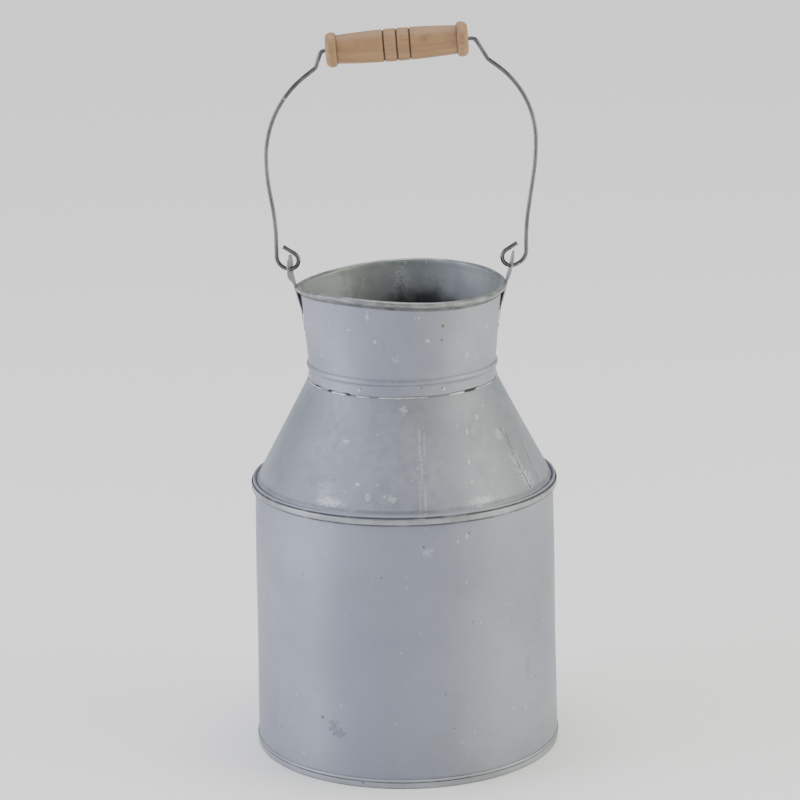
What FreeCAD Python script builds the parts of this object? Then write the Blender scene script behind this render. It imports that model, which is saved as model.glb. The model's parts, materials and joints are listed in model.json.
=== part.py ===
"""Milk can of galvanised sheet steel, with a wire bail and a turned wooden grip.

Millimetres, +Z up, origin at the centre of the circle that the can stands on.
The bail stands upright in the XZ plane, and +X is one ear of the can.
"""
import FreeCAD
import Part
import math
import os

# Sheet
SHEET = 0.6                     # thickness of the can's sheet
LAP_GAP = 0.05                  # between two sheets that are soldered together
FOLD_GAP = 0.3                  # between the layers of a folded seam
FOLD_PITCH = SHEET + FOLD_GAP   # from one layer of a folded seam to the next

# Body, measured to the outside of the sheet
BODY_FOOT_RADIUS = 112.2
BODY_TAPER = 2.5                # narrower at the top than at the foot
SIDE_SEAM_WIDTH = 6.0
SIDE_SEAM_RISE = 0.8
SIDE_SEAM_MARGIN = 4.0          # from the seam's ends to the folds above and below it

# Base
BASE_RECESS = 5.0               # from the floor up to the middle of the base's disc
BASE_BEND = 0.4
BASE_BAND_HEIGHT = 4.4
BASE_LIP_HEIGHT = 6.4
BASE_LIP_BULGE = 0.4

# Ring seam between the body and the shoulder
RING_TOP = 203.2                # above the floor
RING_HEIGHT = 6.8
RING_ROUND = 1.5
GUTTER_ROUND = 0.6
HOOK_GAP = 1.2                  # from the end of a folded edge to the fold that it faces
CONE_FOOT_DEPTH = 4.2           # below the ring's top, where the cone's slope would meet the ring

# Neck and mouth, measured to the outside of the sheet
SHOULDER_RISE = 74.6            # from the ring's top to the neck's lower edge
NECK_RADIUS = 68.3
NECK_LENGTH = 72.2
BAND_WIDTH = 8.4                # plain band below the bead
BEAD_RISE = 1.3
BEAD_HALF_WIDTH = 2.2
COLLAR_MARGIN = 0.4             # from the top of the cone's collar, inside the neck, to the bead
MOUTH_RADIUS = 76.4             # over the rolled rim
RIM_WIRE_RADIUS = 1.5
NECK_SEAM_WIDTH = 8.0
CONE_SEAM_WIDTH = 12.0
CONE_SEAM_ANGLE = -30.0         # about Z, from +X
BACK_ANGLE = 90.0               # the seams of the body and the neck, from +X

# Rivets and solder of the collar
RIVET_COUNT = 7
RIVET_FIRST_ANGLE = -116.5      # about Z, from +X
RIVET_SHANK_RADIUS = 0.9
RIVET_HEAD_RADIUS = 1.55
RIVET_HEAD_HEIGHT = 0.75
RIVET_FIT = 0.02
SOLDER_RISE = 1.0               # up the neck from its lower edge
SOLDER_RUN = 1.8                # out over the cone
SOLDER_GAP = 0.03
SOLDER_ARCS = ((-171, 24), (-138, 13), (-119, 9), (-105, 30), (-62, 12), (-41, 22),
               (-8, 28), (34, 30), (78, 26), (118, 34), (163, 15))   # start and sweep, degrees

# Ears
EAR_THICKNESS = 1.2
EAR_WIDTH = 16.0
EAR_FOOT_DEPTH = 36.0           # below the top of the rim
EAR_FOOT_ROUND = 3.0
EAR_BEND_DEPTH = 22.0           # where the strap leaves the neck, below the top of the rim
EAR_CREST_DEPTH = 1.4           # where the strap passes the rim, below its top
EAR_TIP_BEND = 3.4              # foot of the upright tip, above the rim
EAR_TIP_OUT = 4.0               # from the rim's outside to the tip's outer face
EAR_TIP_ABOVE_HINGE = 10.4
EAR_SOLDER_LEG = 1.3

# Bail
WIRE_RADIUS = 1.5
HINGE_ABOVE_RIM = 8.0
EAR_HOLE_CLEARANCE = 0.5
HOOK_INNER_RADIUS = 6.2
HOOK_WRAP = 148.0               # turn of the hook past the ear, degrees
HOOK_TAIL = 9.4
CROWN_ABOVE_HINGE = 161.0       # middle of the straight length that carries the grip
CROWN_TILT = 3.85               # +X end higher, degrees
KNEE_ROUND = 4.5
WAIST_ROUND = 150.0
# One arm of the bail at -X and one at +X. The belly stands out from the arm's foot, the lower
# knee from the upper one, and the upper knee from the grip's end.
LEFT_ARM = {
    "side": -1, "hook_outer_radius": 9.5, "waist_above_hinge": 34.0,
    "belly_out": 5.6, "belly_above_hinge": 68.0,
    "shoulder_below_crown": 43.9, "shoulder_round": 74.0,
    "lower_knee_out": 3.9, "lower_knee_below_crown": 15.6, "upper_knee_out": 3.2,
}
RIGHT_ARM = {
    "side": 1, "hook_outer_radius": 11.2, "waist_above_hinge": 30.0,
    "belly_out": 7.3, "belly_above_hinge": 78.0,
    "shoulder_below_crown": 36.4, "shoulder_round": 66.0,
    "lower_knee_out": 9.1, "lower_knee_below_crown": 11.3, "upper_knee_out": 4.7,
}

# Grip
GRIP_LENGTH = 101.4
GRIP_BEAD_RADIUS = 12.4
GRIP_BEAD_WIDTH = 7.9
GRIP_BEAD_ROUND = 2.4
GRIP_NECK_DROP = 2.3            # from the top of a bead to the barrel beside it
GRIP_BARREL_DROP = 0.7          # from the top of a bead to the barrel's middle
GRIP_BORE_CLEARANCE = 0.1
GROOVE_PITCH = 9.3
GROOVE_RADIUS = 0.9
GROOVE_DEPTH = 0.7

# Worked out from the sizes above: middles of the sheets and lines that pieces share
HALF_SHEET = SHEET / 2
BODY_EDGE_HEIGHT = SHEET + LAP_GAP
BODY_TOP_RADIUS = BODY_FOOT_RADIUS - BODY_TAPER
BODY_TOP_MIDDLE = BODY_TOP_RADIUS - HALF_SHEET
CHUCK_MIDDLE = BODY_TOP_MIDDLE - FOLD_PITCH
RING_OUTER_MIDDLE = BODY_TOP_MIDDLE + 3 * FOLD_PITCH
RING_TOP_MIDDLE = RING_TOP - HALF_SHEET
RING_FOOT_MIDDLE = RING_TOP - RING_HEIGHT + HALF_SHEET
CONE_FOOT_HEIGHT = RING_TOP - CONE_FOOT_DEPTH
NECK_FOOT_HEIGHT = RING_TOP + SHOULDER_RISE
BAND_TOP = NECK_FOOT_HEIGHT + BAND_WIDTH
BEAD_HEIGHT = BAND_TOP + BEAD_HALF_WIDTH
RIM_TOP = NECK_FOOT_HEIGHT + NECK_LENGTH
NECK_MIDDLE = NECK_RADIUS - HALF_SHEET
COLLAR_MIDDLE = NECK_MIDDLE - SHEET - LAP_GAP
ROLL_RADIUS = RIM_WIRE_RADIUS + LAP_GAP + HALF_SHEET
ROLL_REACH = MOUTH_RADIUS - HALF_SHEET - ROLL_RADIUS
ROLL_HEIGHT = RIM_TOP - HALF_SHEET - ROLL_RADIUS
FLARE_FOOT_HEIGHT = BEAD_HEIGHT + BEAD_HALF_WIDTH
FLARE_TOP_HEIGHT = ROLL_HEIGHT - 2 * ROLL_RADIUS
FLARE_TOP_MIDDLE = ROLL_REACH - ROLL_RADIUS
RIVET_HEIGHT = (NECK_FOOT_HEIGHT + BAND_TOP) / 2
EAR_FOOT_HEIGHT = RIM_TOP - EAR_FOOT_DEPTH
EAR_BEND_HEIGHT = RIM_TOP - EAR_BEND_DEPTH
EAR_TIP_MIDDLE = MOUTH_RADIUS + EAR_TIP_OUT - EAR_THICKNESS / 2
HALF_EAR = EAR_WIDTH / 2
HINGE_HEIGHT = RIM_TOP + HINGE_ABOVE_RIM
EAR_TIP_TOP = HINGE_HEIGHT + EAR_TIP_ABOVE_HINGE
CROWN_HEIGHT = HINGE_HEIGHT + CROWN_ABOVE_HINGE
GRIP_NECK_RADIUS = GRIP_BEAD_RADIUS - GRIP_NECK_DROP
GRIP_BARREL_RADIUS = GRIP_BEAD_RADIUS - GRIP_BARREL_DROP

AXIS_FOOT = FreeCAD.Vector(0, 0, 0)
UP = FreeCAD.Vector(0, 0, 1)
SIDEWAYS = FreeCAD.Vector(0, 1, 0)


def spot(reach, height):
    """A point of the XZ plane."""
    return FreeCAD.Vector(reach, 0, height)


def runs_through(points, rounds):
    """Straight and arc runs along the points, each inner corner rounded.

    A run is a list of (place, heading) pairs: two for a straight run, three for an arc.
    """
    runs = []
    at = points[0]
    for before, corner, after, radius in zip(points, points[1:], points[2:], rounds):
        into = (corner - before).normalize()
        out = (after - corner).normalize()
        half_turn = into.getAngle(out) / 2
        reach = radius * math.tan(half_turn)
        inward = (out - into).normalize()
        start = corner - into * reach
        middle = corner + inward * radius * (1 / math.cos(half_turn) - 1)
        end = corner + out * reach
        if at.distanceToPoint(start) > 1e-6:
            runs.append([(at, into), (start, into)])
        runs.append([(start, into), (middle, (into + out).normalize()), (end, out)])
        at = end
    heading = (points[-1] - points[-2]).normalize()
    runs.append([(at, heading), (points[-1], heading)])
    return runs


def edge_through(places):
    """A straight edge through two places, or an arc through three."""
    if len(places) == 2:
        return Part.makeLine(*places)
    return Part.Arc(*places).toShape()


def beside(run, distance):
    """The places of a run, moved sideways in the XZ plane."""
    return [place + heading.cross(SIDEWAYS) * distance for place, heading in run]


def bent_strip(points, rounds, thickness):
    """The cut face of a bent sheet whose middle follows the points."""
    runs = runs_through(points, rounds)
    near = [beside(run, thickness / 2) for run in runs]
    far = [beside(run, -thickness / 2) for run in runs]
    edges = [edge_through(places) for places in near + far]
    edges.append(Part.makeLine(near[0][0], far[0][0]))
    edges.append(Part.makeLine(near[-1][-1], far[-1][-1]))
    return Part.Face(Part.Wire(Part.__sortEdges__(edges)))


def turned(face):
    """A face of the XZ plane, turned once about the can's axis."""
    return face.revolve(AXIS_FOOT, UP, 360)


def polygon_face(points):
    """A flat face with straight sides."""
    return Part.Face(Part.makePolygon(points + points[:1]))


def seam_strip(foot, top, width, rise, angle):
    """A raised lap on a straight wall, from the middle of the sheet outwards."""
    along = (top - foot).normalize()
    outward = SIDEWAYS.cross(along)
    lift = outward * (HALF_SHEET + rise)
    wall = turned(polygon_face([foot, top, top + lift, foot + lift]))
    reach = max(foot.x, top.x) + rise + SHEET
    slot = Part.makeBox(reach, width, top.z - foot.z + reach,
                        FreeCAD.Vector(0, -width / 2, foot.z - reach / 2))
    strip = wall.common(slot)
    strip.rotate(AXIS_FOOT, UP, angle)
    return strip


def body_wall(height):
    """The middle of the body's tapered wall at a height."""
    fraction = (height - BODY_EDGE_HEIGHT) / (RING_FOOT_MIDDLE - BODY_EDGE_HEIGHT)
    middle = BODY_FOOT_RADIUS - BODY_TAPER * fraction - HALF_SHEET
    return spot(middle, height)


def body_shell():
    """Tapered body, its top edge hooked outwards and down inside the ring seam."""
    fold_top = RING_TOP_MIDDLE - FOLD_PITCH
    hook_reach = BODY_TOP_MIDDLE + 2 * FOLD_PITCH
    wall = [
        body_wall(BODY_EDGE_HEIGHT),
        body_wall(RING_FOOT_MIDDLE),
        spot(BODY_TOP_MIDDLE, fold_top),
        spot(hook_reach, fold_top),
        spot(hook_reach, RING_FOOT_MIDDLE + HOOK_GAP),
    ]
    shell = turned(bent_strip(wall, [FOLD_PITCH, HALF_SHEET + 0.5, HALF_SHEET + 0.5], SHEET))
    seam = seam_strip(
        body_wall(BASE_LIP_HEIGHT + SIDE_SEAM_MARGIN),
        body_wall(RING_TOP - RING_HEIGHT - SIDE_SEAM_MARGIN),
        SIDE_SEAM_WIDTH, SIDE_SEAM_RISE, BACK_ANGLE)
    return shell.fuse(seam)


def base_pan():
    """Raised disc whose edge wraps down and up around the body's lower edge."""
    inner = BODY_FOOT_RADIUS - SHEET - LAP_GAP - HALF_SHEET
    outer = BODY_FOOT_RADIUS + LAP_GAP + HALF_SHEET
    lip_middle = (BASE_BAND_HEIGHT + BASE_LIP_HEIGHT) / 2
    path = [
        spot(0, BASE_RECESS),
        spot(inner, BASE_RECESS),
        spot(inner, HALF_SHEET),
        spot(outer, HALF_SHEET),
        spot(outer, BASE_BAND_HEIGHT),
        spot(outer + BASE_LIP_BULGE, lip_middle),
        spot(outer, BASE_LIP_HEIGHT),
    ]
    rounds = [2 * SHEET, BASE_BEND, BASE_BEND, SHEET, SHEET]
    return turned(bent_strip(path, rounds, SHEET))


def cone_line(height):
    """The middle of the cone's sloping sheet at a height: the neck's inner edge sits on it."""
    seat = spot(NECK_RADIUS - SHEET, NECK_FOOT_HEIGHT - LAP_GAP)
    foot = spot(CHUCK_MIDDLE, CONE_FOOT_HEIGHT)
    slope = (foot.x - seat.x) / (seat.z - foot.z)
    skin = HALF_SHEET * math.sqrt(1 + slope * slope)
    slope = (foot.x - seat.x + skin) / (seat.z - foot.z)
    return spot(foot.x - (height - foot.z) * slope, height)


def shoulder_cone():
    """Cone with a collar above, and below a fold that hooks under the body's edge."""
    hook_reach = BODY_TOP_MIDDLE + FOLD_PITCH
    low, high = cone_line(CONE_FOOT_HEIGHT), cone_line(NECK_FOOT_HEIGHT)
    share = (low.x - COLLAR_MIDDLE) / (low.x - high.x)
    bend = low + (high - low) * share
    path = [
        spot(COLLAR_MIDDLE, BAND_TOP - COLLAR_MARGIN),
        bend,
        low,
        spot(CHUCK_MIDDLE, RING_TOP_MIDDLE),
        spot(RING_OUTER_MIDDLE, RING_TOP_MIDDLE),
        spot(RING_OUTER_MIDDLE, RING_FOOT_MIDDLE),
        spot(hook_reach, RING_FOOT_MIDDLE),
        spot(hook_reach, RING_TOP_MIDDLE - FOLD_PITCH - HOOK_GAP),
    ]
    rounds = [SHEET, GUTTER_ROUND, RING_ROUND, RING_ROUND, HALF_SHEET + 0.5, HALF_SHEET + 0.5]
    cone = turned(bent_strip(path, rounds, SHEET))
    lap_foot = low + (high - low) * 0.06
    lap_top = low + (high - low) * 0.94
    return cone.fuse(seam_strip(lap_foot, lap_top, CONE_SEAM_WIDTH, SHEET, CONE_SEAM_ANGLE))


def neck_collar():
    """Neck with a swaged bead, flared to a rim that is rolled around a wire."""
    path = [
        spot(NECK_MIDDLE, NECK_FOOT_HEIGHT),
        spot(NECK_MIDDLE, BAND_TOP),
        spot(NECK_MIDDLE + BEAD_RISE, BEAD_HEIGHT),
        spot(NECK_MIDDLE, FLARE_FOOT_HEIGHT),
        spot(FLARE_TOP_MIDDLE, FLARE_TOP_HEIGHT),
        spot(ROLL_REACH - ROLL_RADIUS, ROLL_HEIGHT + ROLL_RADIUS),
        spot(ROLL_REACH + ROLL_RADIUS, ROLL_HEIGHT + ROLL_RADIUS),
        spot(ROLL_REACH + ROLL_RADIUS, ROLL_HEIGHT - ROLL_RADIUS),
        spot(ROLL_REACH - ROLL_RADIUS + SHEET, ROLL_HEIGHT - ROLL_RADIUS),
    ]
    rounds = [SHEET, 2 * SHEET, SHEET, SHEET, ROLL_RADIUS, ROLL_RADIUS, ROLL_RADIUS]
    neck = turned(bent_strip(path, rounds, SHEET))
    foot, top = spot(NECK_MIDDLE, FLARE_FOOT_HEIGHT), spot(FLARE_TOP_MIDDLE, FLARE_TOP_HEIGHT)
    lap_foot = foot + (top - foot) * 0.04
    lap_top = foot + (top - foot) * 0.96
    return neck.fuse(seam_strip(lap_foot, lap_top, NECK_SEAM_WIDTH, SHEET, BACK_ANGLE))


def rim_wire():
    """The hoop inside the rolled rim."""
    return Part.makeTorus(ROLL_REACH, RIM_WIRE_RADIUS, spot(0, ROLL_HEIGHT), UP)


def rivet_angles():
    """Even spacing around the collar."""
    return [RIVET_FIRST_ANGLE + 360 / RIVET_COUNT * number for number in range(RIVET_COUNT)]


def around(shape, angles):
    """Copies of a shape turned about the can's axis."""
    copies = [shape.copy() for _ in angles]
    for copy, angle in zip(copies, angles):
        copy.rotate(AXIS_FOOT, UP, angle)
    return copies


def rivet_bores():
    """Drills through the neck and the collar for the rivets."""
    inside = COLLAR_MIDDLE - 2 * SHEET
    drill = Part.makeCylinder(RIVET_SHANK_RADIUS + RIVET_FIT, NECK_RADIUS - inside + SHEET,
                              spot(inside, RIVET_HEIGHT), FreeCAD.Vector(1, 0, 0))
    return around(drill, rivet_angles())


def collar_rivets():
    """Domed rivets through the neck and the collar, flattened inside."""
    bore = COLLAR_MIDDLE - HALF_SHEET
    inside = math.sqrt(bore ** 2 - RIVET_HEAD_RADIUS ** 2) - RIVET_FIT
    seat = NECK_RADIUS + RIVET_FIT
    tail = Part.makeCylinder(RIVET_HEAD_RADIUS, RIVET_HEAD_HEIGHT / 2,
                             spot(inside - RIVET_HEAD_HEIGHT / 2, RIVET_HEIGHT),
                             FreeCAD.Vector(1, 0, 0))
    shank = Part.makeCylinder(RIVET_SHANK_RADIUS, seat - inside + 2 * RIVET_FIT,
                              spot(inside - RIVET_FIT, RIVET_HEIGHT), FreeCAD.Vector(1, 0, 0))
    dome_radius = (RIVET_HEAD_RADIUS ** 2 + RIVET_HEAD_HEIGHT ** 2) / (2 * RIVET_HEAD_HEIGHT)
    ball = Part.makeSphere(dome_radius, spot(seat + RIVET_HEAD_HEIGHT - dome_radius, RIVET_HEIGHT))
    keep = Part.makeCylinder(2 * RIVET_HEAD_RADIUS, 2 * RIVET_HEAD_HEIGHT,
                             spot(seat, RIVET_HEIGHT), FreeCAD.Vector(1, 0, 0))
    rivet = tail.fuse(shank).fuse(ball.common(keep))
    return Part.makeCompound(around(rivet.removeSplitter(), rivet_angles()))


def collar_solder():
    """Fillets of solder in the corner between the neck's lower edge and the cone."""
    low, high = cone_line(CONE_FOOT_HEIGHT), cone_line(NECK_FOOT_HEIGHT)
    down = (low - high).normalize()
    outward = SIDEWAYS.cross(high - low).normalize()
    corner = spot(NECK_RADIUS + SOLDER_GAP, NECK_FOOT_HEIGHT + SOLDER_GAP)
    above = spot(NECK_RADIUS + SOLDER_GAP, NECK_FOOT_HEIGHT + SOLDER_RISE)
    slope_start = high + outward * (HALF_SHEET + SOLDER_GAP)
    drop = (corner.x - slope_start.x) / down.x
    foot = slope_start + down * drop
    tip = foot + down * SOLDER_RUN
    waist = (above + tip) * 0.4 + foot * 0.2
    section = polygon_face([above, foot, tip, waist])
    fillets = []
    for start, sweep in SOLDER_ARCS:
        fillet = section.revolve(AXIS_FOOT, UP, sweep)
        fillet.rotate(AXIS_FOOT, UP, start)
        fillets.append(fillet)
    return Part.makeCompound(fillets)


def neck_outside(height):
    """The outer face of the flared neck at a height."""
    lean = (FLARE_TOP_MIDDLE - NECK_MIDDLE) / (FLARE_TOP_HEIGHT - FLARE_FOOT_HEIGHT)
    skin = HALF_SHEET * math.sqrt(1 + lean * lean)
    return spot(NECK_MIDDLE + (height - FLARE_FOOT_HEIGHT) * lean + skin, height)


def rim_pass(bend):
    """Where the strap's middle crosses its crest, on a line from the bend past the rolled rim."""
    to_roll = spot(ROLL_REACH, ROLL_HEIGHT) - bend
    clear = ROLL_RADIUS + HALF_SHEET + LAP_GAP + EAR_THICKNESS / 2
    lean = math.atan2(to_roll.x, to_roll.z) + math.asin(clear / to_roll.Length)
    return bend + spot(math.tan(lean), 1) * (RIM_TOP - EAR_CREST_DEPTH - bend.z)


def ear_right():
    """Strap that lies on the neck, bridges the rolled rim and ends in an upright eye."""
    stand_off = spot(LAP_GAP + EAR_THICKNESS / 2, 0)
    bend = neck_outside(EAR_BEND_HEIGHT) + stand_off
    path = [
        neck_outside(EAR_FOOT_HEIGHT) + stand_off,
        bend,
        rim_pass(bend),
        spot(EAR_TIP_MIDDLE, RIM_TOP + EAR_TIP_BEND),
        spot(EAR_TIP_MIDDLE, EAR_TIP_TOP),
    ]
    strap = turned(bent_strip(path, [6.0, 4.0, 3.0], EAR_THICKNESS))
    return strap.common(ear_blank()).cut(ear_hole()).Solids[0]


def ear_blank():
    """The strap's outline along X: rounded tip, straight sides and rounded foot corners."""
    foot = EAR_FOOT_HEIGHT - 1
    inner = NECK_RADIUS / 2
    sides = Part.makeBox(MOUTH_RADIUS, EAR_WIDTH, EAR_TIP_TOP - HALF_EAR - foot,
                         FreeCAD.Vector(inner, -HALF_EAR, foot))
    tip = Part.makeCylinder(HALF_EAR, MOUTH_RADIUS, spot(inner, EAR_TIP_TOP - HALF_EAR),
                            FreeCAD.Vector(1, 0, 0))
    corners = [edge for edge in sides.Edges
               if abs(edge.BoundBox.ZMax - foot) < 1e-6 and edge.BoundBox.XLength > 1]
    return sides.makeFillet(EAR_FOOT_ROUND, corners).fuse(tip)


def ear_hole():
    """The bail's hole through both ears."""
    return Part.makeCylinder(WIRE_RADIUS + EAR_HOLE_CLEARANCE, MOUTH_RADIUS,
                             spot(NECK_RADIUS / 2, HINGE_HEIGHT), FreeCAD.Vector(1, 0, 0))


def ear_left():
    """The same strap on the other side."""
    return ear_right().mirror(AXIS_FOOT, FreeCAD.Vector(1, 0, 0))


def ear_solder():
    """Fillets of solder down both edges of each strap's foot."""
    edge = HALF_EAR + SOLDER_GAP
    sections = []
    for height in (EAR_FOOT_HEIGHT + EAR_FOOT_ROUND, EAR_BEND_HEIGHT - EAR_SOLDER_LEG):
        radius = neck_outside(height).x + SOLDER_GAP
        far = edge + EAR_SOLDER_LEG
        root = FreeCAD.Vector(math.sqrt(radius ** 2 - edge ** 2), edge, height)
        toe = FreeCAD.Vector(math.sqrt(radius ** 2 - far ** 2), far, height)
        crest = root + FreeCAD.Vector(EAR_THICKNESS * 0.7, 0, 0)
        sections.append(Part.makePolygon([root, toe, crest, root]))
    fillet = Part.makeLoft(sections, True, True)
    other = fillet.mirror(AXIS_FOOT, SIDEWAYS)
    pair = Part.makeCompound([fillet, other])
    return Part.makeCompound([pair, pair.mirror(AXIS_FOOT, FreeCAD.Vector(1, 0, 0))])


def crown_height(reach):
    """Height of the tilted crown at a reach along X."""
    return CROWN_HEIGHT + reach * math.tan(math.radians(CROWN_TILT))


def arm_points(arm):
    """Corners and rounds of one arm, from the crown down to the tail of its hook."""
    side = arm["side"]
    arm_reach = EAR_TIP_MIDDLE + arm["hook_outer_radius"]
    belly_reach = arm_reach + arm["belly_out"]
    upper_knee = GRIP_LENGTH / 2 + arm["upper_knee_out"]
    lower_knee = upper_knee + arm["lower_knee_out"]
    turn = math.radians(HOOK_WRAP / 2)
    leg = HOOK_INNER_RADIUS * math.tan(turn / 2)
    first_reach = EAR_TIP_MIDDLE - leg
    second_reach = first_reach - 2 * leg * math.cos(turn)
    second_height = HINGE_HEIGHT + 2 * leg * math.sin(turn)
    tail_reach = second_reach - (leg + HOOK_TAIL) * math.cos(2 * turn)
    tail_height = second_height + (leg + HOOK_TAIL) * math.sin(2 * turn)
    corners = [
        (upper_knee, crown_height(side * upper_knee), KNEE_ROUND),
        (lower_knee, CROWN_HEIGHT - arm["lower_knee_below_crown"], KNEE_ROUND),
        (belly_reach, CROWN_HEIGHT - arm["shoulder_below_crown"], arm["shoulder_round"]),
        (belly_reach, HINGE_HEIGHT + arm["belly_above_hinge"], WAIST_ROUND),
        (arm_reach, HINGE_HEIGHT + arm["waist_above_hinge"], WAIST_ROUND),
        (arm_reach, HINGE_HEIGHT, arm["hook_outer_radius"]),
        (first_reach, HINGE_HEIGHT, HOOK_INNER_RADIUS),
        (second_reach, second_height, HOOK_INNER_RADIUS),
        (tail_reach, tail_height, 0),
    ]
    points = [spot(side * reach, height) for reach, height, _ in corners]
    return points, [radius for _, _, radius in corners[:-1]]


def bail_wire():
    """One bent wire: hook, arm, knees, crown, knees, arm and hook."""
    left_points, left_rounds = arm_points(LEFT_ARM)
    right_points, right_rounds = arm_points(RIGHT_ARM)
    runs = runs_through(left_points[::-1] + right_points, left_rounds[::-1] + right_rounds)
    path = Part.Wire([edge_through([place for place, _ in run]) for run in runs])
    start, heading = runs[0][0]
    section = Part.Wire(Part.Circle(start, heading, WIRE_RADIUS).toShape())
    return path.makePipeShell([section], True, False)


def grip_profile():
    """Half section of the grip along X: two end beads and a bellied barrel."""
    bore = WIRE_RADIUS + GRIP_BORE_CLEARANCE
    end = GRIP_LENGTH / 2
    shoulder = end - GRIP_BEAD_WIDTH
    corner = GRIP_BEAD_ROUND * (1 - math.sqrt(0.5))
    crest = GRIP_BEAD_RADIUS - GRIP_BEAD_ROUND
    fall = GRIP_BEAD_RADIUS - GRIP_NECK_RADIUS
    slack = fall * (1 - math.sqrt(0.5))
    half = [
        [spot(end, bore), spot(end, crest)],
        [spot(end, crest), spot(end - corner, GRIP_BEAD_RADIUS - corner),
         spot(end - GRIP_BEAD_ROUND, GRIP_BEAD_RADIUS)],
        [spot(end - GRIP_BEAD_ROUND, GRIP_BEAD_RADIUS), spot(shoulder + fall, GRIP_BEAD_RADIUS)],
        [spot(shoulder + fall, GRIP_BEAD_RADIUS), spot(shoulder + slack, GRIP_BEAD_RADIUS - slack),
         spot(shoulder, GRIP_NECK_RADIUS)],
    ]
    flipped = [[spot(-place.x, place.z) for place in places] for places in half]
    barrel = [spot(-shoulder, GRIP_NECK_RADIUS), spot(0, GRIP_BARREL_RADIUS),
              spot(shoulder, GRIP_NECK_RADIUS)]
    edges = [edge_through(places) for places in half + flipped + [barrel]]
    edges.append(Part.makeLine(spot(-end, bore), spot(end, bore)))
    return Part.Face(Part.Wire(Part.__sortEdges__(edges)))


def wooden_grip():
    """Turned grip with three scored rings, free to spin on the crown."""
    grip = grip_profile().revolve(AXIS_FOOT, FreeCAD.Vector(1, 0, 0), 360)
    for number in (-1, 0, 1):
        ring_radius = GRIP_BARREL_RADIUS + GROOVE_RADIUS - GROOVE_DEPTH
        grip = grip.cut(Part.makeTorus(ring_radius, GROOVE_RADIUS, spot(number * GROOVE_PITCH, 0),
                                       FreeCAD.Vector(1, 0, 0)))
    grip.rotate(AXIS_FOOT, SIDEWAYS, -CROWN_TILT)
    grip.translate(spot(0, CROWN_HEIGHT))
    return grip


def drilled(shape):
    """A sheet of the collar with the rivets' holes."""
    return shape.cut(Part.makeCompound(rivet_bores()))


def main():
    """Build every piece and write one file for each."""
    pieces = {
        "body_shell": body_shell(),
        "base_pan": base_pan(),
        "shoulder_cone": drilled(shoulder_cone()),
        "neck_collar": drilled(neck_collar()),
        "rim_wire": rim_wire(),
        "collar_rivets": collar_rivets(),
        "collar_solder": collar_solder(),
        "ear_left": ear_left(),
        "ear_right": ear_right(),
        "ear_solder": ear_solder(),
        "bail_wire": bail_wire(),
        "wooden_grip": wooden_grip(),
    }
    os.makedirs("parts", exist_ok=True)
    for name, shape in pieces.items():
        shape.exportStep(f"parts/{name}.step")
        box = shape.BoundBox
        print(f"{name:14s} solids {len(shape.Solids)} valid {shape.isValid()}"
              f" volume {shape.Volume:10.1f}"
              f" x {box.XMin:.2f}..{box.XMax:.2f} y {box.YMin:.2f}..{box.YMax:.2f}"
              f" z {box.ZMin:.2f}..{box.ZMax:.2f}")


main()
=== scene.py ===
import json
import math

import bmesh
import bpy
from mathutils import Matrix, Vector, noise


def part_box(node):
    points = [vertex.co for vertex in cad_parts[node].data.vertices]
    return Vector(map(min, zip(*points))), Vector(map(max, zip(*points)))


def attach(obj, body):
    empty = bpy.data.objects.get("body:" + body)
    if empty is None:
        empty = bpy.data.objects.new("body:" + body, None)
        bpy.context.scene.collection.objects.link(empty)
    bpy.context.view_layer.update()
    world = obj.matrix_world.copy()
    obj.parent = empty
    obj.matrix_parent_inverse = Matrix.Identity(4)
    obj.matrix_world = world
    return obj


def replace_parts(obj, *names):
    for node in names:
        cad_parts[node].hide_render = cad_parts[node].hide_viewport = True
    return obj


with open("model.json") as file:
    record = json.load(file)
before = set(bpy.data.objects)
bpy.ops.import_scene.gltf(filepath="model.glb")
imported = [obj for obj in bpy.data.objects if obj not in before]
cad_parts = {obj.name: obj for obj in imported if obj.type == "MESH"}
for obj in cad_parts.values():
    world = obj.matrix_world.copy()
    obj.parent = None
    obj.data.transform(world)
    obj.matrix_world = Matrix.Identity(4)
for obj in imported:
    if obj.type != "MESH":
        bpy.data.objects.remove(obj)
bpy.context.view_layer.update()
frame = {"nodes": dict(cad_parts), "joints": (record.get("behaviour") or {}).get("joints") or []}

MM = 0.001
STEPS = 192                     # round the can
MERGE = 1e-6                    # corners nearer than this, in metres, are one corner
SHARP = 0.8                     # an edge that turns more than this, in radians, gets rounded
UP = Vector((0, 0, 1))

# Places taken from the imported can
NECK_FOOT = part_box("neck_collar")[0].z / MM
RIM_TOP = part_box("neck_collar")[1].z / MM
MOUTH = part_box("neck_collar")[1].x / MM
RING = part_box("shoulder_cone")[1].x / MM
RING_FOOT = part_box("shoulder_cone")[0].z / MM
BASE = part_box("base_pan")[1].x / MM
EAR_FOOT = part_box("ear_right")[0].z / MM
EAR_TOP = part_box("ear_right")[1].z / MM
EAR_FACE = -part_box("ear_left")[0].x / MM
joints = {joint["name"]: joint for joint in frame["joints"]}
HINGE = joints["bail_swing"]["pos_m"][2] / MM
GRIP_CENTRE = Vector(joints["grip_spin"]["pos_m"])
GRIP_AXIS = Vector(joints["grip_spin"]["axis"])

# Sizes of the made pieces, in mm and degrees
SHEET = 0.6
RING_TOP = RING_FOOT + 6.8
CONE_FOOT = RING - 5.0          # where the cone meets the gutter
CONE_TOP = NECK_FOOT - 0.3      # where the cone meets the neck
NECK = 68.3                     # outside of the neck above its foot
BEAD = NECK_FOOT + 10.6         # middle of the neck's swaged bead
ROLL = 2.15                     # outside radius of the rolled rim
ROLL_REACH = MOUTH - ROLL
ROLL_HEIGHT = RIM_TOP - ROLL
RINGS = (-9.3, 0.0, 9.3)        # scored rings of the grip, from its middle
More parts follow.
